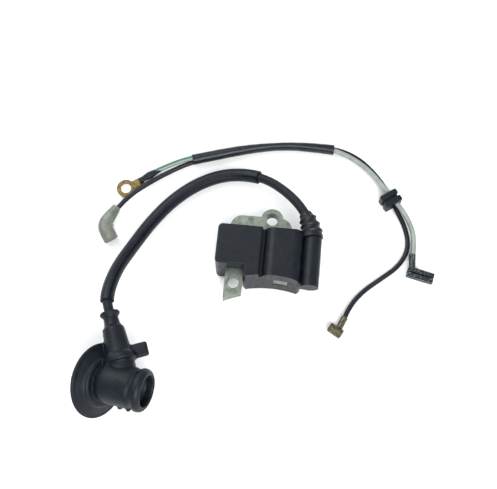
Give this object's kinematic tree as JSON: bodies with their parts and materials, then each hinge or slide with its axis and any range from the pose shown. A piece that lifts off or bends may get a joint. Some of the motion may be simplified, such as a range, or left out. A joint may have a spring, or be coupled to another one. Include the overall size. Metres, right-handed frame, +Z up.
{
  "type": "ignition coil",
  "caption": "Black potted ignition coil on a laminated U core, with a sleeved high-tension lead, a shielded rubber plug boot and a sleeved two-wire stop harness.",
  "frame": {"origin": "under the middle of the coil, on the surface that it lies on", "axes": "+X along the coil's width towards the tower, +Y away from the flywheel, +Z up through the core stack"},
  "size_m": [0.1666, 0.152, 0.0327],
  "materials": {
    "black_nylon": "satin black glass-filled nylon",
    "core_steel": "sheared silicon-steel edges, dull",
    "spool_plastic": "natural nylon",
    "copper_wire": "enamelled copper",
    "board_laminate": "green glass-epoxy laminate",
    "component_epoxy": "matte black epoxy with a metal tab",
    "capacitor_case": "red-brown film case",
    "resistor_body": "tan lacquer",
    "diode_glass": "amber glass",
    "potting_epoxy": "poured black epoxy",
    "tinned_brass": "dull tin plate",
    "gloss_rubber": "shiny moulded rubber",
    "lead_rubber": "ribbed black lead jacket",
    "hose_rubber": "matte black hose",
    "boot_rubber": "satin moulded rubber",
    "spring_steel": "bright spring wire",
    "white_insulation": "white wire jacket with a green stripe",
    "black_insulation": "black wire jacket",
    "sleeve_vinyl": "soft black vinyl tube",
    "grommet_rubber": "satin moulded rubber",
    "brass_terminal": "bare brass",
    "shrink_tube": "shrunk black tube",
    "clear_vinyl": "milky clear vinyl"
  },
  "bodies": {
    "coil": {"coil_housing": "black_nylon", "core_laminations": "core_steel", "primary_bobbin": "spool_plastic", "primary_winding": "copper_wire", "secondary_bobbin": "spool_plastic", "secondary_winding": "copper_wire", "circuit_board": "board_laminate", "power_transistor": "component_epoxy", "film_capacitor": "capacitor_case", "resistors": "resistor_body", "diode": "diode_glass", "potting_resin": "potting_epoxy", "stop_blade": "tinned_brass", "ht_terminal_pin": "tinned_brass", "outlet_boot": "gloss_rubber", "ht_lead": "lead_rubber", "lead_sleeve": "hose_rubber"},
    "boot": {"plug_boot": "boot_rubber", "plug_contact": "spring_steel"},
    "harness": {"white_green_wire": "white_insulation", "black_wire": "black_insulation", "harness_sleeve": "sleeve_vinyl", "wire_grommet": "grommet_rubber", "ring_terminal": "brass_terminal", "ring_crimp_shrink": "shrink_tube", "clear_insulator": "clear_vinyl", "flag_receptacle": "tinned_brass", "flag_terminal": "tinned_brass", "barrel_terminal": "brass_terminal"}
  },
  "joints": [
    {"name": "boot_swivel", "type": "hinge", "parent": "coil", "child": "boot", "pos_m": [-0.0677, -0.04247, 0.02135], "axis": [-0.3567, 0.9342, 0], "range_deg": [-35, 35]},
    {"name": "harness_lift", "type": "slide", "parent": "coil", "child": "harness", "axis": [0, 0, 1], "range_m": [0, 0.08]}
  ]
}
